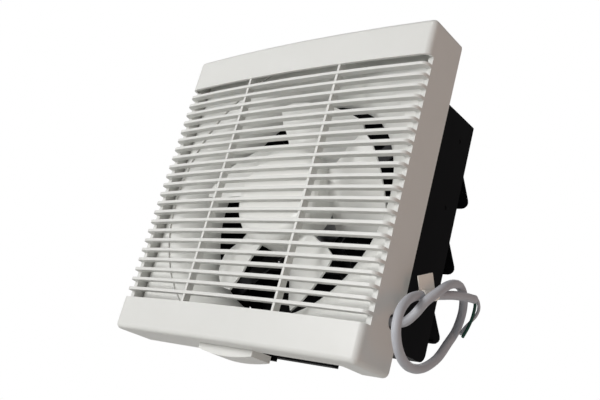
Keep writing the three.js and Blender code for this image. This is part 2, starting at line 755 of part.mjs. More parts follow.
// A drawn half casing with a cup for its bearing. The end wall is at the first place given.
function motorShell(end, open) {
  const out = Math.sign(end - open);
  const wallInside = end - out * motorWall;
  const cupOutside = end + out * bearingCupProud;
  const cupInside = cupOutside - out * motorWall;
  const pocket = bearingRadius + 0.2;
  const bore = shaftRadius + 1.2;
  const profile = [
    [motorRadius, open],
    [motorRadius, end - out * 2],
    [motorRadius - 2, end],
    [bearingCupRadius, end],
    [bearingCupRadius, cupOutside],
    [bore, cupOutside],
    [bore, cupInside],
    [pocket, cupInside],
    [pocket, wallInside],
    [motorBoreRadius - 1, wallInside],
    [motorBoreRadius, wallInside - out],
    [motorBoreRadius, open],
  ];
  let shell = turned(profile, 30);
  for (const angle of quarterTurns) {
    const at = [boltCircle * Math.cos(angle), boltCircle * Math.sin(angle)];
    const through = [end - 3, end + 3];
    shell = shell.subtract(rod("y", boltRadius + screwGap, through, at, 12));
  }
  return shell;
}

function statorCore() {
  let core = ring(statorInner, motorBoreRadius - 0.4, [statorFront, statorBack]);
  for (const angle of quarterTurns) {
    const notch = new THREE.BoxGeometry(8, statorBack - statorFront + 2, 2 * boltRadius + 1.2);
    notch.translate(boltCircle + 2, (statorFront + statorBack) / 2, 0).rotateY(-angle);
    core = core.subtract(solid(notch));
  }
  for (let i = 0; i < 8; i += 1) {
    const slot = new THREE.BoxGeometry(2 * 3, statorBack - statorFront + 2, 2.4);
    slot.translate(statorInner, (statorFront + statorBack) / 2, 0).rotateY(((i + 0.5) / 8) * 2 * Math.PI);
    core = core.subtract(solid(slot));
  }
  return core;
}

// End turns of the winding, a rounded ring on one face of the stator.
function winding(from, to) {
  const soft = 2;
  const out = Math.sign(to - from);
  return turned([
    [windingInner, from],
    [windingInner, to - out * soft],
    [windingInner + soft, to],
    [windingOuter - soft, to],
    [windingOuter, to - out * soft],
    [windingOuter, from],
  ], 24);
}

part("motor_bracket", motorBracket(), "black_steel");
part("motor_front_shell", motorShell(-motorFront, motorSplit - 0.15), "zinc_steel");
part("motor_rear_shell", motorShell(motorBack, motorSplit + 0.15), "zinc_steel");
part("stator_core", statorCore(), "laminated_steel");
part("winding_front", winding(statorFront - seat, statorFront - seat - windingDepth), "copper");
part("winding_rear", winding(statorBack + seat, statorBack + seat + windingDepth), "copper");

const frontCup = -motorFront - bearingCupProud + motorWall + 0.2;
const rearCup = motorBack + bearingCupProud - motorWall - 0.2;
const bearingBore = shaftRadius + runningGap;
part("front_bearing", ring(bearingBore, bearingRadius, [frontCup, frontCup + bearingWidth], 24), "zinc_steel");
part("rear_bearing", ring(bearingBore, bearingRadius, [rearCup - bearingWidth, rearCup], 24), "zinc_steel");

corners.forEach(([sideX, sideZ], i) => {
  const offset = bracketScrewReach * Math.SQRT1_2;
  const tip = bracketFront + bracketThickness + cornerBlockDepth - 3;
  const body = screwAlongY([sideX * offset, sideZ * offset], bracketFront - seat, tip);
  part(`bracket_screw_${i + 1}`, body, "zinc_steel");
});

quarterTurns.forEach((angle, i) => {
  const at = [boltCircle * Math.cos(angle), boltCircle * Math.sin(angle)];
  const headSeat = bracketFront + bracketThickness + seat;
  part(`motor_bolt_${i + 1}`, screwAlongY(at, headSeat, -motorFront + 0.3, boltRadius), "zinc_steel");
});

// ---------------------------------------------------------------- what turns

const bushBack = -hubFront + hubWall + hubBossLength;
const pinPlace = (bushBack - hubFront + hubWall) / 2 - 1;
const pinRadius = 1.2;

function blade(index) {
  const chordSteps = 8;
  const radialSteps = 5;
  const rootRadius = hubRadius - hubWall + 0.5;
  const tipDrop = (u) => {
    const lead = Math.max(0, 1 - u / 0.22);
    const trail = Math.max(0, (u - 0.86) / 0.14);
    return 22 * (1 - Math.sqrt(1 - lead ** 2)) + 14 * (1 - Math.sqrt(1 - trail ** 2));
  };
  const point = (u, v, side) => {
    const radius = rootRadius + v * (bladeTipRadius - tipDrop(u) - rootRadius);
    const reach = (radius - rootRadius) / (bladeTipRadius - rootRadius);
    const halfway = 4 * reach * (1 - reach);
    const first = bladeFirstAngle + (360 / bladeCount) * index;
    const lead = first + bladeSweep * reach - bladeHollow * halfway;
    const covered = THREE.MathUtils.lerp(bladeRootSpan, bladeTipSpan, reach) - bladeWaist * halfway;
    const angle = radians(lead - u * covered);
    const front = -THREE.MathUtils.lerp(bladeRootFront, bladeTipFront, reach);
    const back = THREE.MathUtils.lerp(bladeRootBack, bladeTipBack, reach);
    const camber = THREE.MathUtils.lerp(bladeRootCamber, bladeTipCamber, reach) * Math.sin(Math.PI * u);
    const y = THREE.MathUtils.lerp(front, back, u ** bladeSteepening) - camber + (side * bladeThickness) / 2;
    return [radius * Math.cos(angle), y, radius * Math.sin(angle)];
  };
  const positions = [];
  for (const side of [-1, 1]) {
    for (let i = 0; i <= chordSteps; i += 1) {
      for (let j = 0; j <= radialSteps; j += 1) positions.push(...point(i / chordSteps, j / radialSteps, side));
    }
  }
  const row = radialSteps + 1;
  const layer = row * (chordSteps + 1);
  const quads = [];
  for (let i = 0; i < chordSteps; i += 1) {
    for (let j = 0; j < radialSteps; j += 1) {
      const a = i * row + j;
      quads.push([a, a + 1, a + row + 1, a + row]);
      quads.push([layer + a, layer + a + row, layer + a + row + 1, layer + a + 1]);
    }
  }
  const rim = [];
  for (let j = 0; j < radialSteps; j += 1) rim.push(j);
  for (let i = 0; i < chordSteps; i += 1) rim.push(i * row + radialSteps);
  for (let j = radialSteps; j > 0; j -= 1) rim.push(chordSteps * row + j);
  for (let i = chordSteps; i > 0; i -= 1) rim.push(i * row);
  rim.forEach((a, i) => {
    const b = rim[(i + 1) % rim.length];
    quads.push([b, a, layer + a, layer + b]);
  });
  const faces = quads.flatMap(([a, b, c, d]) => [a, c, b, a, d, c]);
  const geometry = new THREE.BufferGeometry();
  geometry.setAttribute("position", new THREE.Float32BufferAttribute(positions, 3));
  geometry.setIndex(faces);
  return solid(geometry);
}

function impeller() {
  const outer = [];
  const steps = 5;
  for (let i = 0; i <= steps; i += 1) {
    const angle = (i / steps) * (Math.PI / 2);
    const radius = hubFlatRadius + (hubRadius - hubFlatRadius) * Math.sin(angle);
    outer.push([radius, -hubFront + hubShoulder * (1 - Math.cos(angle))]);
  }
  const inside = -hubFront + hubWall;
  const bushRadius = shaftRadius + 2 + seat;
  const profile = [
    [0, -hubFront],
    ...outer,
    [hubRadius, hubBack],
    [hubRadius - hubWall, hubBack],
    [hubRadius - hubWall, -hubFront + hubShoulder + hubWall / 2],
    [hubFlatRadius, inside],
    [hubBossRadius, inside],
    [hubBossRadius, bushBack],
    [bushRadius, bushBack],
    [bushRadius, inside],
    [0, inside],
  ];
  let fan = turned(profile, 40);
  for (let i = 0; i < bladeCount; i += 1) fan = fan.add(blade(i));
  return fan.subtract(rod("x", pinRadius + screwGap, around(0, 2 * hubBossRadius + 2), [pinPlace, 0], 12));
}

const pinHole = (body) =>
  body.subtract(rod("x", pinRadius + 0.15, around(0, 40), [pinPlace, 0], 12));

const rotating = new THREE.Group();
model.add(rotating);
part("impeller", impeller(), "white_fan", rotating);
const bushFront = -hubFront + hubWall + seat;
part("hub_bush", pinHole(ring(bearingBore, shaftRadius + 2, [bushFront, bushBack], 24)), "brass", rotating);
const shaftSpan = [bushFront + 0.3, motorBack + 2];
part("shaft", pinHole(rod("y", shaftRadius, shaftSpan, [0, 0], 24)), "zinc_steel", rotating);
const pinSpan = around(0, 2 * hubBossRadius - 1);
part("drive_pin", rod("x", pinRadius, pinSpan, [pinPlace, 0], 12), "zinc_steel", rotating);
const clipRing = ring(hubBossRadius + 0.15, hubBossRadius + 1.4, [bushBack - 2.2, bushBack - 0.6], 32);
part("hub_clip", clipRing, "zinc_steel", rotating);
const rotorSpan = [statorFront - 1, statorBack + 1];
part("rotor", ring(bearingBore, statorInner - 0.5, rotorSpan, 36), "laminated_steel", rotating);

// ---------------------------------------------------------------- terminal box

const terminalX = [frameInner - 2.2 - terminalWidth, frameInner - 2.2];
const terminalZ = around(cordZ, terminalHeight);
const terminalRear = -flangeThickness - seat;
const floorFront = terminalRear - terminalWall;
const blockX = [terminalX[0] + terminalWall + 1.5, terminalX[0] + terminalWall + 10];
const clampX = terminalX[1] - 8.5;
const clampReach = cordRadius + 4;
const lidPostPlace = [terminalX[0] + 6, terminalZ[1] - 3.6];
const leadY = -17.3;
const leadHeights = [cordZ + 1.5, cordZ - 6];

function terminalBox() {
  const inside = (range) => [range[0] + terminalWall, range[1] - terminalWall];
  const shell = block(terminalX, [-terminalFront, terminalRear], terminalZ);
  let box = shell.subtract(block(inside(terminalX), [-terminalFront - 1, floorFront], inside(terminalZ)));
  for (const side of [-1, 1]) {
    const at = [clampX, cordZ + side * clampReach];
    const postFront = cordY - cordRadius - seat + 0.1;
    box = box.add(rod("y", 2.6, [postFront, floorFront + 0.5], at, 16));
    box = box.subtract(rod("y", 1.25, [postFront - 1, floorFront - 1], at, 12));
  }
  box = box.add(rod("y", 2.3, [-terminalFront, floorFront + 0.5], lidPostPlace, 16));
  box = box.subtract(rod("y", 1.25, [-terminalFront - 1, floorFront - 6], lidPostPlace, 12));
  const cordWall = [terminalX[1] - terminalWall - 1, terminalX[1] + 1];
  box = box.subtract(rod("x", cordRadius + 0.8, cordWall, [cordY, cordZ], 20));
  const leadWall = [terminalX[0] - 1, terminalX[0] + terminalWall + 1];
  for (const z of leadHeights) {
    box = box.subtract(rod("x", leadRadius + 0.6, leadWall, [leadY, z], 16));
  }
  return box;
}

function terminalLid() {
  const back = -terminalFront - seat;
  const lid = block(terminalX, [back - lidThickness, back], terminalZ);
  return lid.subtract(rod("y", 1.3, [back - lidThickness - 1, back + 1], lidPostPlace, 12));
}

function terminalBlock() {
  const z = [terminalZ[0] + terminalWall + 1, lidPostPlace[1] - 2.3 - 1];
  const y = [leadY + leadRadius + seat, floorFront - seat];
  let body = block(blockX, y, z);
  for (let i = 0; i < 3; i += 1) {
    const height = z[0] + (span(z) * (i + 0.5)) / 3;
    body = body.subtract(rod("y", 1.6, [y[0] - 1, y[0] + 3], [middle(blockX), height], 12));
  }
  return body;
}

function cordClamp() {
  const back = cordY - cordRadius - seat;
  let clamp = block(around(clampX, 5), [back - 1.6, back], around(cordZ, 2 * clampReach + 5));
  for (const side of [-1, 1]) {
    clamp = clamp.subtract(rod("y", 1.3, [back - 3, back + 1], [clampX, cordZ + side * clampReach], 12));
  }
  return clamp;
}

part("terminal_box", terminalBox(), "black_plastic");
part("terminal_lid", terminalLid(), "black_plastic");
part("terminal_block", terminalBlock(), "white_fan");
part("cord_clamp", cordClamp(), "zinc_steel");

const lidFront = -terminalFront - 2 * seat - lidThickness + 0.1;
part("lid_screw", smallScrew(lidPostPlace, lidFront, -terminalFront + 8), "zinc_steel");
[-1, 1].forEach((side, i) => {
  const clampFront = cordY - cordRadius - 2 * seat - 1.6;
  const at = [clampX, cordZ + side * clampReach];
  part(`clamp_screw_${i + 1}`, smallScrew(at, clampFront, floorFront - 2), "zinc_steel");
});

function smallScrew(at, seatY, tipY) {
  const head = rod("y", 2.2, [seatY - 1.2, seatY], at, 10);
  return head.add(rod("y", 1, [seatY - 0.6, tipY], at, 8));
}

// ---------------------------------------------------------------- capacitor and inner leads

const capacitorX = [-terminalX[1], -terminalX[1] + capacitorWidth];
const capacitorZ = around(cordZ, capacitorHeight);
const capacitorRear = -flangeThickness - seat - 0.3;
const capacitorFront = capacitorRear - capacitorDepth;

function clipScrewPlace() {
  return [-frameInner + 2.2 + capacitorWidth / 2, cordZ + capacitorHeight / 2 + 6];
}

function capacitorClip() {
  const x = around(middle(capacitorX), clipWidth);
  const front = [capacitorFront - seat - clipThickness, capacitorFront - seat];
  const footY = [terminalRear - clipThickness, terminalRear];
  const low = [capacitorZ[0] - seat - clipThickness, capacitorZ[0] - seat];
  const high = [capacitorZ[1] + seat, capacitorZ[1] + seat + clipThickness];
  const strap = block(x, front, [low[0], high[1]]);
  const legs = block(x, [front[0], footY[1]], low).add(block(x, [front[0], footY[1]], high));
  const foot = block(x, footY, [high[0], high[1] + 9]);
  const hole = rod("y", screwRadius + screwGap, [footY[0] - 1, footY[1] + 1], clipScrewPlace(), 12);
  return joined(strap, legs, foot).subtract(hole);
}

part("capacitor", block(capacitorX, [capacitorFront, capacitorRear], capacitorZ), "white_fan");
part("capacitor_clip", capacitorClip(), "zinc_steel");
const clipSeat = terminalRear - clipThickness - seat;
part("clip_screw", screwAlongY(clipScrewPlace(), clipSeat, -0.8), "zinc_steel");

const armSurface = bracketFront - leadRadius - 1.8;
const diagonal = (reach) => reach * Math.SQRT1_2;
const leadPass = Math.min(boxInner - 8.5, terminalX[0] - 3.6) - leadRadius;
const motorLeadRoute = [
  [blockX[1] - 2, leadY, leadHeights[0]],
  [terminalX[0] - 1, leadY, leadHeights[0]],
  [terminalX[0] - 6.5, leadY + 3, cordZ + 1.5],
  [leadPass, -2, -leadPass],
  [leadPass, 14, -leadPass],
  [leadPass - 2, 26, 2 - leadPass],
  [leadPass - 10, armSurface, 10 - leadPass],
  [diagonal(boxInner - 24), armSurface, -diagonal(boxInner - 24)],
  [diagonal(motorRadius + 12), armSurface, -diagonal(motorRadius + 12)],
  [diagonal(motorRadius + 1), 27, -diagonal(motorRadius + 1)],
];
part("motor_lead", tube(curveThrough(motorLeadRoute), leadRadius, 34, 6), "black_plastic");

const leadFloor = leadRadius + 5 - frameInner;
const capacitorLeadRoute = [
  [blockX[1] - 2, leadY, leadHeights[1]],
  [terminalX[0] - 3, leadY, leadHeights[1]],
  [terminalX[0] - 12, leadY + 3, cordZ - 11],
  [80, -12, leadFloor + 7],
  [45, -12, leadFloor],
  [0, -12, leadFloor - 2],
  [-45, -12, leadFloor],
  [-80, -12, leadFloor + 7],
  [capacitorX[1] + 12, -12, cordZ - 11],
  [capacitorX[1] + 3, -12, cordZ - 5],
  [capacitorX[1] + seat, -12, cordZ - 5],
];
part("capacitor_lead", tube(curveThrough(capacitorLeadRoute), leadRadius, 36, 6), "black_plastic");

// ---------------------------------------------------------------- supply cable

const grommetOuter = frameHalf + seat + grommetFlange;

// Turned about X through the place where the cable passes.
function cordGrommet() {
  const bore = cordRadius + screwGap;
  const barrel = [frameInner - seat - grommetFlange, grommetOuter];
  const at = [grommetY, cordZ];
  const flanges = [
    [barrel[0], barrel[0] + grommetFlange],
    [barrel[1] - grommetFlange, barrel[1]],
  ].map((range) => rod("x", grommetFlangeRadius, range, at, 16));
  const sleeve = rod("x", bore + grommetWall, barrel, at, 16);
  return joined(sleeve, ...flanges).subtract(rod("x", bore, [barrel[0] - 1, barrel[1] + 1], at, 16));
}

part("cord_grommet", cordGrommet(), "black_plastic");
const sheathSpan = [blockX[1] + seat, grommetOuter - 0.4];
part("inlet_sheath", rod("x", cordRadius, sheathSpan, [cordY, cordZ], 16), "grey_pvc");

// The free cable: out of the side, up and over, down, round the front and back through the loop.
const cordExit = [grommetOuter - 0.1, cordY, cordZ];
const fromExit = (points) => points.map((point) => point.map((value, axis) => cordExit[axis] + value));
const cordRoute = fromExit([
  [0, 0, 0],
  [5.3, 0.3, 0],
  [12.3, 1.5, 1.5],
  [19.3, 2.1, 8.5],
  [25.3, 3.5, 19],
  [28.3, 14.5, 31.5],
  [25.8, 29.5, 41.5],
  [20.8, 49, 49],
  [14.8, 68, 51.2],
  [9.8, 83.5, 46.5],
  [7.8, 89, 36.5],
  [9.3, 83, 19.6],
  [13.8, 66, 2.3],
  [18.8, 45.8, -15.7],
  [23.8, 17.5, -30],
  [27.8, -8, -32.5],
  [30.3, -25, -25.5],
  [30.8, -33.5, -14],
  [29.3, -32.5, -1.5],
  [24.8, -21.5, 10.5],
  [18.8, -2.5, 21.5],
  [15.8, 20.5, 29.5],
  [16.3, 38.5, 35.5],
  [19.3, 51.5, 40],
  [22.3, 65.5, 43.3],
  [23.3, 78.1, 45.5],
]);
const cordCurve = curveThrough(cordRoute);
part("power_cord", tube(cordCurve, cordRadius, 64, 8), "grey_pvc");

const greenRoute = fromExit([
  [23, 79.4, 44.4],
  [22.9, 81.7, 41.5],
  [22.3, 82.5, 32],
  [22.3, 79.1, 22],
  [22.3, 73, 11],
]);
const greyRoute = fromExit([
  [23.4, 79.3, 47.2],
  [23.4, 84, 45.8],
  [23.3, 88.1, 40.5],
  [22.3, 87.7, 34],
  [19.9, 84.5, 27],
  [18.5, 79.5, 20],
  [18.3, 75.5, 13.8],
]);
part("green_core", tube(curveThrough(greenRoute), coreRadius, 12, 6), "green_pvc");
part("grey_core", tube(curveThrough(greyRoute), coreRadius, 12, 6), "grey_pvc");

// A blank label folded round the cable where it passes behind its own first rise, its two ends
// stuck together into a flag that stands up and leans back.
function cordTag() {
  const tagShare = tagLength / cordCurve.getLength();
  const points = [];
  for (let i = 0; i <= 4; i += 1) points.push(cordCurve.getPointAt(tagPlace + (i / 4 - 0.5) * tagShare));
  const wrap = tube(new THREE.CatmullRomCurve3(points), cordRadius + 0.9, 6, 12);
  const along = points[4].clone().sub(points[0]).normalize();
  const flag = new THREE.BoxGeometry(tagLength, tagHeight, tagThickness);
  flag.translate(0, tagHeight / 2 + cordRadius - 1, 0);
  const lean = new THREE.Matrix4().makeShear(tagRise, 0, -tagLean, 0, 0, 0);
  const side = new THREE.Vector3(1, 0, 0).addScaledVector(along, -along.x).normalize();
  const up = side.clone().cross(along);
  flag.applyMatrix4(new THREE.Matrix4().makeBasis(along, up, side).multiply(lean));
  flag.translate(points[2].x, points[2].y, points[2].z);
  return wrap.add(solid(flag)).subtract(tube(cordCurve, cordRadius + 0.3, 64, 8));
}

part("cord_tag", cordTag(), "label");

export default model;
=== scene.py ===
# Looks of a 200 mm window exhaust fan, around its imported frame.
# Metres. The origin is the centre of the wall plane, +X right seen from the room, +Y outdoors, +Z up.

import json
import math

import bpy
from mathutils import Matrix, Vector

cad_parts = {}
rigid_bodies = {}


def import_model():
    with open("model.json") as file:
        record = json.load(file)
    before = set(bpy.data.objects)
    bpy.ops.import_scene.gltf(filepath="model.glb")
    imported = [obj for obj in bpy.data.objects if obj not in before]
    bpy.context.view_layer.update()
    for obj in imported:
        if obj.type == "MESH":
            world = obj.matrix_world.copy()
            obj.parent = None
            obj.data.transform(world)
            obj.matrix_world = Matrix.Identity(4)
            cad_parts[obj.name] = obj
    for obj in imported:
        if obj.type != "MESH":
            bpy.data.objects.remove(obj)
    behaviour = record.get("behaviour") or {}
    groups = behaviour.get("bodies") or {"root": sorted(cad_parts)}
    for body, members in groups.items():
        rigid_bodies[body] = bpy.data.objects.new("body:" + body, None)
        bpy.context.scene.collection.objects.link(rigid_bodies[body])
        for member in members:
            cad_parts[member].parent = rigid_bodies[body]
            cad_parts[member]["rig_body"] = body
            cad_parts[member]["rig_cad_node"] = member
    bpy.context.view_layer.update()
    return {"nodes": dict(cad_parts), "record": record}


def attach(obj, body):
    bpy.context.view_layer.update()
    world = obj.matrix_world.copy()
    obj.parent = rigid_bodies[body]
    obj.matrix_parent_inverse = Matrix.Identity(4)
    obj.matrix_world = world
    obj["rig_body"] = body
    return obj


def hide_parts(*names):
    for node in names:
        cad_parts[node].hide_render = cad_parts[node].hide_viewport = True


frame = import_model()
body_of_node = {
    node: body
    for body, nodes in frame["record"]["behaviour"]["bodies"].items()
    for node in nodes
}
slot_of_node = {row["node"]: row["material_slot"] for row in frame["record"]["subparts"]}

MM = 0.001


def in_metres(points):
    return [Vector(point) * MM for point in points]


# ---------------------------------------------------------------- camera

# From below and to the right of the fan's front, with the camera a little tilted.
CAMERA_PLACE = Vector((0.51307, -0.51857, -0.22756))
CAMERA_RIGHT = Vector((0.74096, 0.62079, 0.25612))
CAMERA_DOWN = Vector((-0.00858, 0.39010, -0.92073))
CAMERA_FORWARD = Vector((-0.67150, 0.68003, 0.29437))

lens = bpy.data.cameras.new("photo_camera")
lens.lens = 48.09
lens.sensor_width = 36
lens.shift_x = 0.0102
lens.shift_y = 0.0099
lens.clip_start = 0.02
lens.clip_end = 30
camera = bpy.data.objects.new("photo_camera", lens)
bpy.context.scene.collection.objects.link(camera)
turned_axes = Matrix((CAMERA_RIGHT, -CAMERA_DOWN, -CAMERA_FORWARD)).transposed()
camera.matrix_world = Matrix.Translation(CAMERA_PLACE) @ turned_axes.to_4x4()
bpy.context.scene.camera = camera

# ---------------------------------------------------------------- supply cable

CORD_DIAMETER = 7.5 * MM
CORE_DIAMETER = 2.7 * MM
CUT_END_DEGREES = 50  # sharper than this is the edge of a cut end

# Out of the cover's side, up and over, down, round the front and back through its own loop.
CORD_ROUTE = [
    (146.7, -9.5, -107),
    (152, -9.2, -107),
    (159, -8, -105.5),
    (166, -7.4, -98.5),
    (172, -6, -88),
    (175, 5, -75.5),
    (172.5, 20, -65.5),
    (167.5, 39.5, -58),
    (161.5, 58.5, -55.8),
    (156.5, 74, -60.5),
    (154.5, 79.5, -70.5),
    (156, 73.5, -87.4),
    (160.5, 56.5, -104.7),
    (165.5, 36.3, -122.7),
    (170.5, 8, -137),
    (174.5, -17.5, -139.5),
    (177, -34.5, -132.5),
    (177.5, -43, -121),
    (176, -42, -108.5),
    (171.5, -31, -96.5),
    (165.5, -12, -85.5),
    (162.5, 11, -77.5),
    (163, 29, -71.5),
    (166, 42, -67),
    (169, 56, -63.7),
    (170, 68.6, -61.5),
]
GREEN_ROUTE = [
    (169.7, 69.9, -62.6),
    (169.6, 72.2, -65.5),
    (169, 73, -75),
    (169, 69.6, -85),
    (169, 63.5, -96),
]
GREY_ROUTE = [
    (170.1, 69.8, -59.8),
    (170.1, 74.5, -61.2),
    (170, 78.6, -66.5),
    (169, 78.2, -73),
    (166.6, 75, -80),
    (165.2, 70, -87),
    (165, 66, -93.2),
]


def smooth_route(points, steps=8):
    """A centripetal curve through the points, the same that the frame's cable follows."""
    knots = in_metres(points)
    knots = [2 * knots[0] - knots[1], *knots, 2 * knots[-1] - knots[-2]]
    route = []
    for before, start, end, after in zip(knots, knots[1:], knots[2:], knots[3:]):
        gap_in = (start - before).length ** 0.5
        gap = (end - start).length ** 0.5
        gap_out = (after - end).length ** 0.5
        leave = gap * ((start - before) / gap_in - (end - before) / (gap_in + gap) + (end - start) / gap)
        arrive = gap * ((end - start) / gap - (after - start) / (gap + gap_out) + (after - end) / gap_out)
        for step in range(steps):
            t = step / steps
            route.append(
                start * (2 * t**3 - 3 * t**2 + 1)
                + leave * (t**3 - 2 * t**2 + t)
                + end * (3 * t**2 - 2 * t**3)
                + arrive * (t**3 - t**2)
            )
    route.append(knots[-2])
    return route


def flexible(name, route, diameter):
    """A round cable along a route, as a mesh with flat cut ends."""
    curve = bpy.data.curves.new(name, "CURVE")
    curve.dimensions = "3D"
    curve.bevel_depth = diameter / 2
    curve.bevel_resolution = 5
    curve.use_fill_caps = True
    spline = curve.splines.new("POLY")
    spline.points.add(len(route) - 1)
    for point, place in zip(spline.points, route):
        point.co = (*place, 1)
    spline.use_smooth = True
    made = bpy.data.objects.new(name, curve)
    bpy.context.scene.collection.objects.link(made)
    bpy.ops.object.select_all(action="DESELECT")
    made.select_set(True)
    bpy.context.view_layer.objects.active = made
    bpy.ops.object.convert(target="MESH")
    bpy.ops.object.shade_smooth_by_angle(angle=math.radians(CUT_END_DEGREES))
    return made


cord_route = smooth_route(CORD_ROUTE)
green_route = smooth_route(GREEN_ROUTE, 6)
grey_route = smooth_route(GREY_ROUTE, 6)
cable = flexible("supply_cable", cord_route, CORD_DIAMETER)
green_wire = flexible("green_wire", green_route, CORE_DIAMETER)
grey_wire = flexible("grey_wire", grey_route, CORE_DIAMETER)
for piece, node in ((cable, "power_cord"), (green_wire, "green_core"), (grey_wire, "grey_core")):
    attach(piece, "housing")
    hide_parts(node)

# ---------------------------------------------------------------- materials

# Noise scales, in patterns to the metre.
FLOW_MARKS = 22.0  # about 45 mm apart, from the gates of the tool
SHEEN_PATCHES = 55.0  # about 18 mm
DULL_PATCHES = 140.0  # about 7 mm, where plating has dulled
BRUSH_DEPTH = 0.02 * MM

def linear(colour):
    """A hex colour as written for a screen, turned into the linear values that a shader takes."""
    parts = [int(colour[i : i + 2], 16) / 255 for i in (1, 3, 5)]
    parts = [c / 12.92 if c <= 0.04045 else ((c + 0.055) / 1.055) ** 2.4 for c in parts]
    return (*parts, 1)


def add(tree, kind, sockets=(), **settings):
    """One node with its settings; sockets pairs an input with a value or with another node's output."""
    made = tree.nodes.new(kind)
    for name, value in settings.items():
        setattr(made, name, value)
    for name, value in dict(sockets).items():
        if isinstance(value, bpy.types.NodeSocket):
            tree.links.new(value, made.inputs[name])
        else:
            made.inputs[name].default_value = value
    return made


def new_material(name, **shader):
    material = bpy.data.materials.new(name)
    material.use_nodes = True
    tree = material.node_tree
    surface = tree.nodes["Principled BSDF"]
    for socket, value in shader.items():
        surface.inputs[socket.replace("_", " ")].default_value = value
    place = add(tree, "ShaderNodeTexCoord").outputs["Object"]
    return material, tree, surface, place


def moulded(name, colour, flow_colour, roughness, grain_mm, grain_depth_mm, **shader):
    """Moulded plastic: faint flow marks in its colour, an uneven sheen and a fine spark-eroded grain."""
    material, tree, surface, place = new_material(name, **shader)
    flow = add(
        tree,
        "ShaderNodeTexNoise",
        {"Vector": place, "Scale": FLOW_MARKS, "Detail": 3.0, "Distortion": 0.6},
    )
    tint = add(tree, "ShaderNodeMix", {"Factor": flow.outputs["Fac"]}, data_type="RGBA")
    tint.inputs["A"].default_value = linear(colour)
    tint.inputs["B"].default_value = linear(flow_colour)
    tree.links.new(tint.outputs["Result"], surface.inputs["Base Color"])
    sheen = add(tree, "ShaderNodeTexNoise", {"Vector": place, "Scale": SHEEN_PATCHES, "Detail": 4.0})
    spread = add(tree, "ShaderNodeMapRange", {"Value": sheen.outputs["Fac"]})
    spread.inputs["To Min"].default_value = roughness - 0.05
    spread.inputs["To Max"].default_value = roughness + 0.06
    tree.links.new(spread.outputs["Result"], surface.inputs["Roughness"])
    grain = add(tree, "ShaderNodeTexNoise", {"Vector": place, "Scale": 1 / (grain_mm * MM), "Detail": 2.0})
    bump = add(tree, "ShaderNodeBump", {"Height": grain.outputs["Fac"], "Strength": 0.35})
    bump.inputs["Distance"].default_value = grain_depth_mm * MM
    tree.links.new(bump.outputs["Normal"], surface.inputs["Normal"])
    return material


def plated(name, colour, dull_colour, roughness, brush_mm, **shader):
    """Sheet or turned metal: patches of duller plating and fine streaks along its length."""
    material, tree, surface, place = new_material(name, Metallic=1.0, **shader)
    patches = add(tree, "ShaderNodeTexNoise", {"Vector": place, "Scale": DULL_PATCHES, "Detail": 5.0})
    tint = add(tree, "ShaderNodeMix", {"Factor": patches.outputs["Fac"]}, data_type="RGBA")
    tint.inputs["A"].default_value = linear(colour)
    tint.inputs["B"].default_value = linear(dull_colour)
    tree.links.new(tint.outputs["Result"], surface.inputs["Base Color"])
    along = add(tree, "ShaderNodeMapping", {"Vector": place, "Scale": (1.0, 0.08, 1.0)})
    streaks = add(tree, "ShaderNodeTexNoise", {"Vector": along.outputs["Vector"]})
    streaks.inputs["Scale"].default_value = 1 / (brush_mm * MM)
    spread = add(tree, "ShaderNodeMapRange", {"Value": streaks.outputs["Fac"]})
    spread.inputs["To Min"].default_value = roughness - 0.08
    spread.inputs["To Max"].default_value = roughness + 0.12
    tree.links.new(spread.outputs["Result"], surface.inputs["Roughness"])
    bump = add(tree, "ShaderNodeBump", {"Height": streaks.outputs["Fac"], "Strength": 0.2})
    bump.inputs["Distance"].default_value = BRUSH_DEPTH
    tree.links.new(bump.outputs["Normal"], surface.inputs["Normal"])
    return material


# Injection moulded ABS, satin: soft broad highlights on the louvres and bands.
white_abs = moulded("satin_white_abs", "#E4E4E1", "#DFDFDB", 0.42, 0.7, 0.03)
# The cover's ABS again, painted a shade whiter: painted light, brightening the orifice plate and bell seen
# in shade behind the louvres.
inner_abs_painted_light = moulded("inner_abs_painted_light", "#F2F2EF", "#EDEDE9", 0.42, 0.7, 0.03)
# Injection moulded SAN, glossier than the cover: the blades take a clearer highlight.
white_san = moulded("glossy_white_san", "#F8F8F5", "#F3F3EF", 0.3, 0.9, 0.02)
# Black ABS off a fine-grained tool: nearly black, with a cold sheen where it faces the light.
black_abs = moulded("satin_black_abs", "#060609", "#09090C", 0.5, 0.6, 0.04, Specular_IOR_Level=0.07)
# Soft PVC sheath, extruded: mid grey, slightly waxy.
grey_pvc = moulded("grey_pvc_sheath", "#C0C2C8", "#B8BAC0", 0.5, 1.6, 0.03)
# The earth core's insulation: thin dark green PVC.
green_pvc = moulded("green_pvc_insulation", "#054C3D", "#034235", 0.42, 1.2, 0.02)
# Black nitrile rubber, matt.
black_rubber = moulded("black_nitrile_rubber", "#17171A", "#1C1C1E", 0.7, 0.8, 0.05)
# Matt polypropylene film of the label, left bare.
label_film = moulded("matt_label_film", "#FFFAF2", "#F8F2E8", 0.65, 1.2, 0.04)
# Bright zinc plate on screws, clips and the motor's drawn casing.
zinc_steel = plated("bright_zinc_plate", "#B4B6B8", "#9A9C9F", 0.34, 0.25)
# Free-cutting brass of the hub's bush.
turned_brass = plated("turned_brass", "#C6A35C", "#AC8A48", 0.3, 0.2)
# Enamelled copper wire of the windings.
enamelled_copper = plated("enamelled_copper_wire", "#B4643C", "#8E4526", 0.38, 0.35)
# Stamped silicon steel, bare at its edges.
silicon_steel = plated("stamped_silicon_steel", "#6A6C70", "#505256", 0.5, 0.3)
# Steel bracket under satin black enamel.
black_enamel = moulded("satin_black_enamel", "#16161A", "#1D1D20", 0.38, 2.2, 0.05, Specular_IOR_Level=0.4)

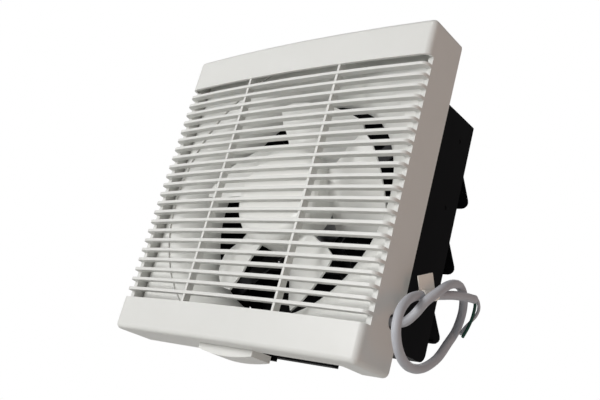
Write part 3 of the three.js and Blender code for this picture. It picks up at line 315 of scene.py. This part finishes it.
finish_of_slot = {
    "white_abs": white_abs,
    "white_fan": white_san,
    "black_plastic": black_abs,
    "black_rubber": black_rubber,
    "black_steel": black_enamel,
    "zinc_steel": zinc_steel,
    "laminated_steel": silicon_steel,
    "copper": enamelled_copper,
    "brass": turned_brass,
    "grey_pvc": grey_pvc,
    "green_pvc": green_pvc,
    "label": label_film,
}


def finish_with(piece, material):
    piece.data.materials.clear()
    piece.data.materials.append(material)


for node, piece in frame["nodes"].items():
    finish_with(piece, finish_of_slot[slot_of_node[node]])
finish_with(cable, grey_pvc)
finish_with(green_wire, green_pvc)
finish_with(grey_wire, grey_pvc)

# ---------------------------------------------------------------- modelling helpers

MERGE_DISTANCE = 0.002 * MM
FLAT_DEGREES = 0.6  # faces that meet at less than this are one face
EDGE_DEGREES = 44  # edges sharper than this are eased
CURVE_DEGREES = 38  # facets that meet at less than this are one curve


def only(piece):
    bpy.ops.object.select_all(action="DESELECT")
    piece.select_set(True)
    bpy.context.view_layer.objects.active = piece


def apply_all(piece):
    only(piece)
    for modifier in list(piece.modifiers):
        bpy.ops.object.modifier_apply(modifier=modifier.name)


def dressed(node, edge_mm):
    """A copy of a frame piece with its faces merged, its edges eased and its curves shaded smooth."""
    source = frame["nodes"][node]
    piece = source.copy()
    piece.data = source.data.copy()
    piece.name = f"{node}_moulding"
    piece.parent = None
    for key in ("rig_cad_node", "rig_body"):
        del piece[key]
    bpy.context.scene.collection.objects.link(piece)
    only(piece)
    bpy.ops.object.mode_set(mode="EDIT")
    bpy.ops.mesh.select_all(action="SELECT")
    bpy.ops.mesh.remove_doubles(threshold=MERGE_DISTANCE)
    bpy.ops.mesh.dissolve_limited(angle_limit=math.radians(FLAT_DEGREES))
    bpy.ops.object.mode_set(mode="OBJECT")
    if edge_mm:
        easing = piece.modifiers.new("eased_edges", "BEVEL")
        easing.width = edge_mm * MM
        easing.segments = 2
        easing.limit_method = "ANGLE"
        easing.angle_limit = math.radians(EDGE_DEGREES)
        easing.use_clamp_overlap = True
        easing.miter_outer = "MITER_SHARP"
        bpy.ops.object.modifier_apply(modifier=easing.name)
    bpy.ops.object.shade_smooth_by_angle(angle=math.radians(CURVE_DEGREES))
    flats = piece.modifiers.new("flat_faces_stay_flat", "WEIGHTED_NORMAL")
    flats.keep_sharp = True
    apply_all(piece)
    finish_with(piece, finish_of_slot[slot_of_node[node]])
    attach(piece, body_of_node[node])
    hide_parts(node)
    return piece


# How far each moulded or pressed piece's edges are eased, in millimetres. Pieces that stay hidden, such
# as screws and windings, keep the frame's own mesh.
pieces = {}
for node, edge in (
    ("front_grille", 0.3),
    ("release_tab", 0.25),
    ("orifice_frame", 0.0),
    ("impeller", 0.0),
    ("housing", 0.3),
    ("flap_top", 0.3),
    ("flap_middle", 0.3),
    ("flap_bottom", 0.3),
    ("shutter_link", 0.2),
    ("motor_bracket", 0.0),
    ("motor_front_shell", 0.0),
    ("motor_rear_shell", 0.0),
    ("cord_grommet", 0.0),
    ("cord_tag", 0.0),
):
    pieces[node] = dressed(node, edge)
# The orifice plate takes the lighter copy of the cover's ABS, as painted light on the inside behind the
# louvres.
finish_with(pieces["orifice_frame"], inner_abs_painted_light)

# ---------------------------------------------------------------- floor, backdrop and light

FLOOR_HEIGHT = -0.55
FLOOR_SIZE = 9

bpy.ops.object.select_all(action="DESELECT")
bpy.ops.mesh.primitive_plane_add(size=FLOOR_SIZE, location=(0, 0, FLOOR_HEIGHT))
floor = bpy.context.object
floor.name = "studio_floor"
pale_floor, _, floor_surface, _ = new_material("pale_studio_floor", Roughness=0.9)
floor_surface.inputs["Base Color"].default_value = linear("#F0F0EE")
finish_with(floor, pale_floor)


def soft_lamp(name, place, size, power, colour):
    """A round soft lamp aimed at the middle of the wall plane."""
    lamp = bpy.data.lights.new(name, "AREA")
    lamp.shape = "DISK"
    lamp.size = size
    lamp.energy = power
    lamp.color = linear(colour)[:3]
    holder = bpy.data.objects.new(name, lamp)
    bpy.context.scene.collection.objects.link(holder)
    holder.location = place
    holder.rotation_mode = "QUATERNION"
    holder.rotation_quaternion = (-Vector(place)).to_track_quat("-Z", "Y")


# The key stands in the room, nearly square to the louvres. The right-hand side is left to a weak warm
# lamp, and a third one outdoors shows the shutter.
soft_lamp("key", (-0.8, -2.6, 0.35), 1.2, 44.5, "#FFFFFF")
soft_lamp("warm_side", (2.4, 0.2, 0.3), 1.6, 4.5, "#FFB27E")
soft_lamp("rear_fill", (-1.7, 2.6, 1.1), 1.8, 32, "#FFFFFF")

# The camera sees a plain white backdrop, while a dimmer sky lights the object.
AMBIENT_STRENGTH = 0.27
BACKDROP_STRENGTH = 1.0

world = bpy.data.worlds.new("white_studio")
bpy.context.scene.world = world
world.use_nodes = True
sky = world.node_tree
sky.nodes.clear()
path = add(sky, "ShaderNodeLightPath")
seen = add(
    sky,
    "ShaderNodeMath",
    {0: path.outputs["Is Camera Ray"], 1: path.outputs["Is Transmission Ray"]},
    operation="MAXIMUM",
)
ambient = add(sky, "ShaderNodeBackground", {"Color": linear("#FFFFFF"), "Strength": AMBIENT_STRENGTH})
white = add(sky, "ShaderNodeBackground", {"Color": linear("#FFFFFF"), "Strength": BACKDROP_STRENGTH})
mix = add(sky, "ShaderNodeMixShader", {0: seen.outputs[0], 1: ambient.outputs[0], 2: white.outputs[0]})
add(sky, "ShaderNodeOutputWorld", {"Surface": mix.outputs[0]})

bpy.context.scene.view_settings.view_transform = "Standard"

# ---------------------------------------------------------------- the end

bpy.context.view_layer.update()
